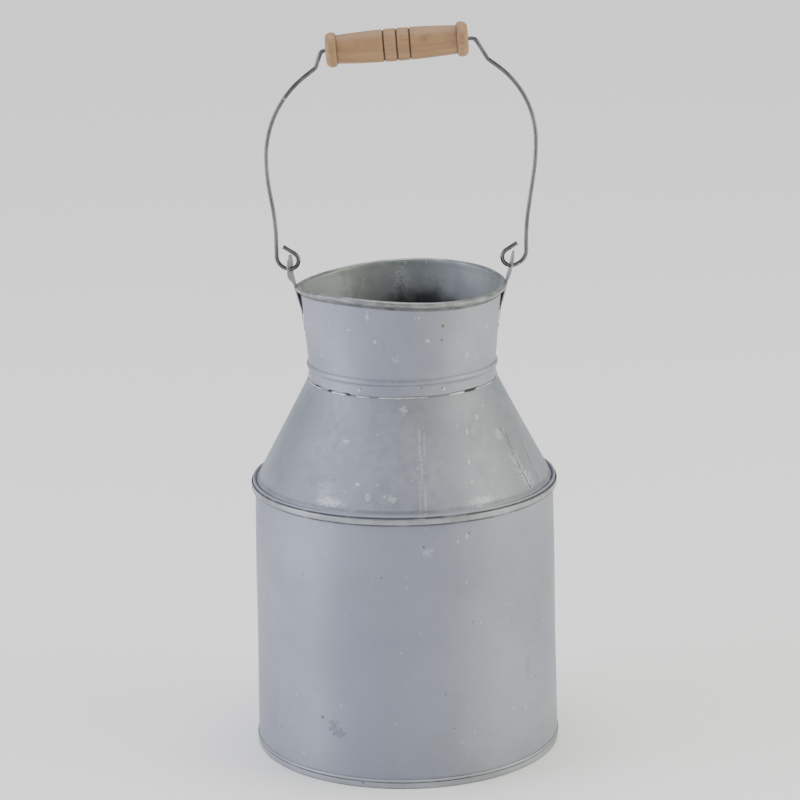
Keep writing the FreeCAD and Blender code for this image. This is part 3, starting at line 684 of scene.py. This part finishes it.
def shoulder():
    """Cone from the neck down to the gutter and the lip inside the seam."""
    line = CutLine(NECK - 0.7, NECK_FOOT + 7.5).run(NECK - 0.75, NECK_FOOT + 1.2, cuts=2)
    line.run(NECK + 0.3, CONE_TOP)
    line.run(CONE_FOOT, RING_TOP + 0.3, cuts=26)
    for outwards, down in ((0.9, 1.3), (1.7, 1.6), (2.3, 0.5), (2.9, 0.05), (3.4, 0.0), (3.8, 0.3),
                           (3.95, 1.0), (3.95, 4.6)):
        line.run(CONE_FOOT + outwards, RING_TOP - down)
    bm = line.spun(lambda place: away_from_axis(place) + UP)
    uneven(bm, 0.35, 42, seed=7)
    dent(bm, (-60, -70, 235), 32, 0.6)
    dent(bm, (40, -78, 245), 30, 0.5)
    give_thickness(bm, SHEET)
    return part(bm, "shoulder", "can", cone_zinc, crease=50)


def seam_band():
    """Outer band of the seam, turned under the body's top edge, a thin gap away from the lip."""
    line = CutLine(RING - 0.45, RING_FOOT + 4.75).run(RING - 0.1, RING_FOOT + 4.55)
    line.run(RING, RING_FOOT + 4.1).run(RING, RING_FOOT + 0.7, cuts=3).run(RING - 0.15, RING_FOOT + 0.2)
    line.run(RING - 0.6, RING_FOOT).run(RING - 2.6, RING_FOOT + 0.1, cuts=2)
    bm = line.spun(lambda place: away_from_axis(place) - UP * 0.2)
    uneven(bm, 0.22, 24, seed=3)
    give_thickness(bm, 0.55)
    return part(bm, "seam_band", "can", ring_zinc, crease=50)


def on_the_cone(height):
    """Reach of the cone's outside at a height, in mm."""
    share = (CONE_TOP - height) / (CONE_TOP - 0.3 - RING_TOP)
    return NECK + 0.3 + (CONE_FOOT - NECK - 0.3) * share


def shoulder_lap():
    """Lap of the cone's sheet: its free edge stands a little proud near the foot and fades out above."""
    top, foot, proud = 252.0, RING_TOP + 3.0, 0.6
    line = CutLine(on_the_cone(top) + 0.4, top + 0.3).run(on_the_cone(foot) + 0.4, foot + 0.3, cuts=18)
    bm = line.spun(lambda place: away_from_axis(place) + UP, start=-31.5, sweep=11.5, steps=12)
    for v in bm.verts:
        angle = math.degrees(math.atan2(v.co.y, v.co.x))
        sunk = max(settle(angle, -26, -20) * 0.8, settle(v.co.z / MM, 238, 252))
        v.co -= (away_from_axis(v.co) + UP * 0.5).normalized() * sunk * proud * MM
    uneven(bm, 0.35, 42, seed=7)
    give_thickness(bm, SHEET)
    return part(bm, "shoulder_lap", "can", cone_zinc, crease=50)


def lap_solder():
    """Broken thread of solder down the lap's edge, and a fainter one beside it."""
    bm = bmesh.new()
    for top, foot, high_angle, low_angle, thick, seed in (
            (249.0, RING_TOP + 3.2, -32.9, -31.0, 0.5, 2.0),
            (236.0, RING_TOP + 5.0, -19.2, -21.2, 0.28, 9.0)):
        thread = bmesh.new()
        bmesh.ops.create_cone(thread, cap_ends=True, segments=8, radius1=thick * MM, radius2=thick * MM,
                              depth=1.0, matrix=Matrix.Translation((0, 0, 0.5)))
        rows = [e for e in thread.edges if abs(e.verts[0].co.z - e.verts[1].co.z) > 0.5]
        bmesh.ops.subdivide_edges(thread, edges=rows, cuts=44, use_grid_fill=True)
        for v in thread.verts:
            share = v.co.z
            height = foot + (top - foot) * share
            turn = math.radians(low_angle + (high_angle - low_angle) * share)
            wander = noise.noise(Vector((share * 30, seed, 0)))
            width = max(0.25 + 1.5 * noise.noise(Vector((share * 16, seed, 4))), 0.12)
            reach = on_the_cone(height) + 0.35
            core = Vector((reach * math.cos(turn), reach * math.sin(turn), height)) * MM
            side = Vector((-math.sin(turn), math.cos(turn), 0))
            out = Vector((math.cos(turn), math.sin(turn), 0.5)).normalized()
            v.co = core + side * (v.co.x * (0.6 + width) + wander * 0.25 * MM) + out * v.co.y * width
        bmesh.ops.recalc_face_normals(thread, faces=thread.faces)
        if thread.calc_volume(signed=True) < 0:
            bmesh.ops.reverse_faces(thread, faces=thread.faces)
        add_to(bm, thread)
    return part(bm, "lap_solder", "can", dull_solder, crease=80)


def lifted(place):
    """How far the neck's lower edge stands off at a place, 0 to 1."""
    angle = math.degrees(math.atan2(place.y, place.x))
    return max(1 - settle(abs(angle - middle), half * 0.6, half) for middle, half in GAPS)


def out_of_round(bm):
    """Let the mouth wander from a level circle, as worn by years of use."""
    for v in bm.verts:
        angle = math.atan2(v.co.y, v.co.x)
        rise = settle(v.co.z / MM, NECK_FOOT + 16, ROLL_HEIGHT - 2.3)
        drift, sag = [
            sum(size * math.cos(turns * (angle - math.radians(at))) for turns, at, size in waves)
            for waves in (MOUTH_REACH, MOUTH_SAG)]
        v.co += away_from_axis(v.co) * drift * rise * MM
        v.co.z += sag * rise * MM


def neck():
    """Neck with its bead, flared to the rolled rim."""
    finishes = [neck_zinc, rim_zinc, inside_zinc, under_roll_shade]
    inner = NECK - SHEET
    under_roll = ROLL_HEIGHT - 4.6
    line = CutLine(inner, NECK_FOOT).run(inner, BEAD - 2.2, cuts=4)
    for proud, beside in ((0.5, -1.7), (1.15, -0.9), (1.35, 0.0), (1.15, 0.9), (0.5, 1.7), (0.0, 2.2)):
        line.run(inner + proud, BEAD + beside)
    line.run(ROLL_REACH - ROLL - 0.15, under_roll, cuts=17)
    line.through((ROLL_REACH - ROLL, ROLL_HEIGHT - 2.4), (ROLL_REACH - ROLL, ROLL_HEIGHT))
    line.bend(ROLL_REACH, ROLL_HEIGHT, 325, steps=18)
    bm = line.spun(
        lambda place: -away_from_axis(place) if place.z < (ROLL_HEIGHT - 4) * MM else Vector())
    uneven(bm, 0.25, 34, seed=11)
    uneven(bm, 0.45, 9, seed=5, above=ROLL_HEIGHT - 2.2)
    for v in bm.verts:
        low = 1 - settle(v.co.z / MM, NECK_FOOT, NECK_FOOT + 3.5)
        v.co.z += low * lifted(v.co) * 1.1 * MM
    give_thickness(bm, SHEET)
    for face in bm.faces:
        height = face.calc_center_median().z / MM
        inward = face.normal.dot(away_from_axis(face.calc_center_median())) < 0
        if inward and height < ROLL_HEIGHT + 0.6:
            face.material_index = finishes.index(inside_zinc)
        elif height > ROLL_HEIGHT - 2.6:
            face.material_index = finishes.index(rim_zinc)
        # faces just under the roll take the darker finish: painted shade
        elif height > under_roll:
            face.material_index = finishes.index(under_roll_shade)
    out_of_round(bm)
    made = part(bm, "neck", "can", finishes[0], crease=45)
    for other in finishes[1:]:
        made.data.materials.append(other)
    return made


def round_section(reach, height, radius, segments):
    """A wire's or bead's round cut, to be spun about the can. Sizes in mm."""
    bm = bmesh.new()
    place = Matrix.Translation((reach * MM, 0, height * MM)) @ Matrix.Rotation(math.pi / 2, 4, "X")
    bmesh.ops.create_circle(bm, cap_ends=False, segments=segments, radius=radius * MM, matrix=place)
    return bm


def rim_hoop():
    """The wire that the rim is rolled round."""
    bm = round_section(ROLL_REACH, ROLL_HEIGHT, 1.45, 14)
    spin_about_can(bm)
    bmesh.ops.recalc_face_normals(bm, faces=bm.faces)
    out_of_round(bm)
    return part(bm, "rim_hoop", "can", wire_steel)


def neck_lap():
    """Lapped seam up the back of the neck."""
    line = CutLine(NECK + 0.75, NECK_FOOT + 14).run(ROLL_REACH - 0.9, ROLL_HEIGHT - 5.5, cuts=14)
    bm = line.spun(away_from_axis, start=86.6, sweep=6.8, steps=6)
    uneven(bm, 0.25, 34, seed=11)
    give_thickness(bm, 0.7)
    out_of_round(bm)
    soften_cut_edges(bm, 0.2)
    return part(bm, "neck_lap", "can", neck_zinc)


def collar_rivets():
    """Domed rivets round the collar, evenly spaced."""
    count, first, radius, sunk = 7, -116.5, 1.9, 0.2
    low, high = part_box("collar_rivets")
    middle = (low.z + high.z) / 2
    bm = bmesh.new()
    for number in range(count):
        angle = math.radians(first + 360 / count * number)
        place = Matrix.Rotation(angle, 4, "Z") @ Matrix.Translation(((NECK - sunk) * MM, 0, middle))
        place = place @ Matrix.Rotation(math.pi / 2, 4, "Y") @ Matrix.Diagonal((1, 1, 0.5, 1))
        bmesh.ops.create_uvsphere(bm, u_segments=20, v_segments=12, radius=radius * MM, matrix=place)
    return part(bm, "rivet_heads", "can", rivet_zinc, crease=70)


def solder_bead(bm, reach, height, start, sweep, thick, seed):
    """A run of solder, thicker and thinner along its way, its ends drawn out."""
    bead = round_section(reach, height, thick, 10)
    spin_about_can(bead, start=start, sweep=sweep, steps=max(int(sweep / 1.1), 6))
    bmesh.ops.holes_fill(bead, edges=bead.edges, sides=12)
    bmesh.ops.recalc_face_normals(bead, faces=bead.faces)
    for v in bead.verts:
        angle = math.degrees(math.atan2(v.co.y, v.co.x)) - start
        share = (angle % 360) / sweep if (angle % 360) < 350 else 0
        swell = 0.72 + 0.55 * noise.noise(Vector((share * sweep * 0.28, seed, 0)))
        ends = settle(share, -0.02, 0.12) * settle(1 - share, -0.02, 0.12)
        core = away_from_axis(v.co) * reach * MM + UP * height * MM
        v.co = core + (v.co - core) * max(swell, 0.3) * (0.25 + 0.75 * ends)
    add_to(bm, bead)


def collar_solder():
    """Broken runs of solder in the corner under the neck's edge."""
    bm = bmesh.new()
    arcs = ((-171, 24), (-138, 13), (-119, 9), (-105, 30), (-62, 12), (-41, 22),
            (-8, 28), (34, 30), (78, 26), (118, 34), (163, 15))
    for number, (start, sweep) in enumerate(arcs):
        solder_bead(bm, NECK + 0.35, NECK_FOOT - 0.25, start, sweep, 0.95, number * 3.7)
    return part(bm, "collar_solder_runs", "can", dull_solder, crease=80)


# ---------------------------------------------------------------- the ears

STRAP = 0.9                     # thickness of the strap
STRAP_FACE = EAR_FACE - 0.15    # reach of the tip's outer face
TIP_RADIUS = 8.0
HOLE_RADIUS = 2.3
TIP_FOOT = RIM_TOP + 3.4        # the flat tip ends here
CREST = RIM_TOP - 1.4           # where the strap passes the rim
BEND = RIM_TOP - 22.0           # where it comes to lie on the neck
FOOT_REACH = 71.35
STRAP_WAY = ((77.6, CREST), (74.85, 337.0), (72.5, BEND), (71.95, 321.5), (FOOT_REACH, EAR_FOOT))


def strap_blank(lean):
    """The strap's outer face: a round tip with its hole, then down past the rim to a rounded foot."""
    bm = bmesh.new()
    crown = EAR_TOP - TIP_RADIUS
    upright = Matrix.Rotation(math.pi / 2, 4, "Y")
    for radius, height in ((HOLE_RADIUS, HINGE), (TIP_RADIUS, crown)):
        edge = bmesh.ops.create_circle(
            bm, cap_ends=False, segments=32, radius=radius * MM,
            matrix=Matrix.Translation((STRAP_FACE * MM, 0, height * MM)) @ upright)["verts"]
    bmesh.ops.bridge_loops(bm, edges=bm.edges[:])
    foot = [v for v in edge if v.co.z < (crown - 0.1) * MM]
    for v in foot:
        v.co.z = TIP_FOOT * MM
        if abs(v.co.y) > 7.7 * MM:
            v.co.y = math.copysign(TIP_RADIUS * MM, v.co.y)
    for v in bm.verts:
        v.co.x += (v.co.z - HINGE * MM) * math.tan(math.radians(lean))
    row = [e for e in bm.edges if all(v in foot for v in e.verts)]
    for reach, height in STRAP_WAY:
        grown = bmesh.ops.extrude_edge_only(bm, edges=row)["geom"]
        fresh = corners(grown)
        for v in fresh:
            v.co.x = reach * MM
            v.co.z = height * MM
        row = [item for item in grown if isinstance(item, bmesh.types.BMEdge)
               and all(v in fresh for v in item.verts)]
    for v in fresh:
        past = min(max(abs(v.co.y) / MM - 5.0, 0), 3)
        v.co.z += (3 - math.sqrt(9 - past * past)) * MM
    face_along(bm, lambda place: Vector((1, 0, 0)))
    folds = [e for e in bm.edges if all(v.co.z > (CREST - 1) * MM for v in e.verts)
             and len(e.link_faces) == 2 and e.calc_face_angle(0) > 0.1]
    soften(bm, folds, 1.1, segments=3)
    return bm


def strap_ear(name, side, turn, lean):
    """Strap soldered up the neck, bent out past the rim, its tip turned and leant a little."""
    bm = strap_blank(lean)
    for v in bm.verts:
        hug = 1 - settle(v.co.z / MM, BEND, CREST)
        v.co.x -= (FOOT_REACH * MM - math.sqrt((FOOT_REACH * MM) ** 2 - v.co.y ** 2)) * hug
    bmesh.ops.transform(bm, matrix=Matrix.Diagonal((side, 1, 1, 1)), verts=bm.verts)
    pin = Vector((side * (STRAP_FACE - STRAP / 2) * MM, 0, 0))
    for v in bm.verts:
        share = settle(v.co.z / MM, CREST - 2, TIP_FOOT + 1)
        v.co = pin + Matrix.Rotation(math.radians(turn) * share, 3, "Z") @ (v.co - pin)
    face_along(bm, lambda place: Vector((side, 0, 0)))
    double_up(bm, STRAP)
    for v in bm.verts:
        out = math.hypot(v.co.x, v.co.y) - 70.3 * MM
        if v.co.z < (EAR_FOOT + 6) * MM and out > 0:
            thinner = 0.6 * (1 - settle(v.co.z / MM, EAR_FOOT, EAR_FOOT + 6))
            v.co -= away_from_axis(v.co) * out * thinner
    soften_cut_edges(bm, 0.2, sharp=1.0)
    bmesh.ops.remove_doubles(bm, verts=bm.verts, dist=MERGE)
    return part(bm, name, "can", strap_zinc)


def strap_shadow_wedges():
    """Black wedges filling the gap between each strap and the neck, under the roll: painted shadow."""
    bm = bmesh.new()
    for start in (-5.6, 174.4):
        line = CutLine(71.4, 329.5).run(72.5, 330.5).run(74.9, 341.5, cuts=3).run(72.35, 341.5, cuts=2)
        wedge = line.close().bm
        spin_about_can(wedge, start=start, sweep=11.2, steps=8)
        bmesh.ops.holes_fill(wedge, edges=wedge.edges, sides=12)
        bmesh.ops.recalc_face_normals(wedge, faces=wedge.faces)
        add_to(bm, wedge)
    return part(bm, "strap_shadow_wedges", "can", shadow_black)


# ---------------------------------------------------------------- the grip

def turned_grip():
    """Grip with an end bead each side, a bellied barrel and three scored rings, bored for the wire."""
    end, bead, barrel, beside_bead, bore = 50.7, 12.4, 11.7, 10.1, 1.6
    shoulder_at = end - 7.9
    line = CutLine(end - 0.4, bore).run(end, bead - 4.2, cuts=3)
    line.bend(end - 4.2, bead - 4.2, -90, steps=8)
    line.run(shoulder_at + 2.3, bead).bend(shoulder_at + 2.3, bead - 2.3, -90, steps=6)
    line.run(-shoulder_at, beside_bead, cuts=230)
    line.bend(-shoulder_at - 2.3, beside_bead, -90, steps=6)
    line.run(-end + 4.2, bead).bend(-end + 4.2, bead - 4.2, -90, steps=8)
    line.run(-end + 0.4, bore, cuts=3).close()
    bm = line.bm
    for v in bm.verts:
        x = v.co.x / MM
        if abs(x) < shoulder_at and v.co.z > 5 * MM:
            groove = sum(max(1 - ((x - at) / 0.8) ** 2, 0) for at in RINGS)
            v.co.z = (barrel - (barrel - beside_bead) * (x / shoulder_at) ** 2 - groove) * MM
    geom = bm.verts[:] + bm.edges[:]
    bmesh.ops.spin(bm, geom=geom, cent=(0, 0, 0), axis=(1, 0, 0), angle=math.tau, steps=72,
                   use_merge=True, use_duplicate=False)
    bmesh.ops.remove_doubles(bm, verts=bm.verts, dist=MERGE)
    bmesh.ops.recalc_face_normals(bm, faces=bm.faces)
    tilt = Matrix.Rotation(-math.atan2(GRIP_AXIS.z, GRIP_AXIS.x), 4, "Y")
    bmesh.ops.transform(bm, matrix=Matrix.Translation(GRIP_CENTRE) @ tilt, verts=bm.verts)
    return part(bm, "turned_grip", "grip", wood)


def finish_cad_node(name, material):
    """Give a carried-over piece its finish."""
    mesh = frame["nodes"][name].data
    mesh.materials.clear()
    mesh.materials.append(material)


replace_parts(can_body(), "body_shell")
side_seam()
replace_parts(base_ring(), "base_pan")
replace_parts(shoulder(), "shoulder_cone")
seam_band()
shoulder_lap()
lap_solder()
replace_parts(neck(), "neck_collar")
neck_lap()
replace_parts(rim_hoop(), "rim_wire")
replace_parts(collar_rivets(), "collar_rivets")
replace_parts(collar_solder(), "collar_solder")
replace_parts(strap_ear("strap_ear_left", -1, -12, 0), "ear_left")
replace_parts(strap_ear("strap_ear_right", 1, 3, 12), "ear_right")
strap_shadow_wedges()
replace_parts(turned_grip(), "wooden_grip")
finish_cad_node("bail_wire", wire_steel)
finish_cad_node("ear_solder", dull_solder)


# ---------------------------------------------------------------- studio

def studio_floor():
    """A plain pale floor."""
    bm = bmesh.new()
    bmesh.ops.create_grid(bm, x_segments=1, y_segments=1, size=40.0)
    mesh = mesh_of(bm, "studio_floor")
    floor = put_in_scene("studio_floor", mesh)
    material, _, shader, _ = finish("pale_floor", 0.0)
    shader.inputs["Base Color"].default_value = (0.92, 0.92, 0.92, 1)
    shader.inputs["Roughness"].default_value = 0.9
    mesh.materials.append(material)


def softbox(name, place, power, colour):
    """A soft light aimed at the can's middle."""
    lamp = bpy.data.lights.new(name, "AREA")
    lamp.shape = "RECTANGLE"
    lamp.size, lamp.size_y = 1.6, 2.0
    lamp.energy = power
    lamp.color = colour
    holder = put_in_scene(name, lamp)
    holder.location = place
    aim = Vector((0, 0, 0.26)) - Vector(place)
    holder.rotation_euler = aim.to_track_quat("-Z", "Y").to_euler()


def studio():
    """Soft light all round, cooler from the left, warmer from the right and strongest from above."""
    world = bpy.data.worlds.new("soft_room")
    bpy.context.scene.world = world
    world.use_nodes = True
    background = world.node_tree.nodes["Background"]
    background.inputs["Color"].default_value = (1.0, 1.0, 1.0, 1)
    background.inputs["Strength"].default_value = 0.44
    softbox("left_box", (-2.2, -0.5, 0.75), 50, (0.84, 0.88, 1.0))
    softbox("right_box", (2.2, -0.5, 0.9), 43, (0.96, 1.0, 0.74))
    sky = bpy.data.lights.new("overhead", "SUN")
    sky.energy = 2.6
    sky.angle = math.radians(50)
    put_in_scene("overhead", sky).rotation_euler = (math.radians(-8), 0, 0)


def camera():
    """Long lens from a little above the rim."""
    lens = bpy.data.cameras.new("view")
    lens.sensor_width = 36.0
    lens.lens = 126.99
    down, roll = 0.252, -0.0172
    holder = put_in_scene("view", lens)
    look = Matrix.Rotation(math.pi / 2 - down, 4, "X") @ Matrix.Rotation(roll, 4, "Z")
    holder.matrix_world = Matrix.Translation((-0.00202, -2.0, 0.7737)) @ look
    bpy.context.scene.camera = holder


studio_floor()
studio()
camera()
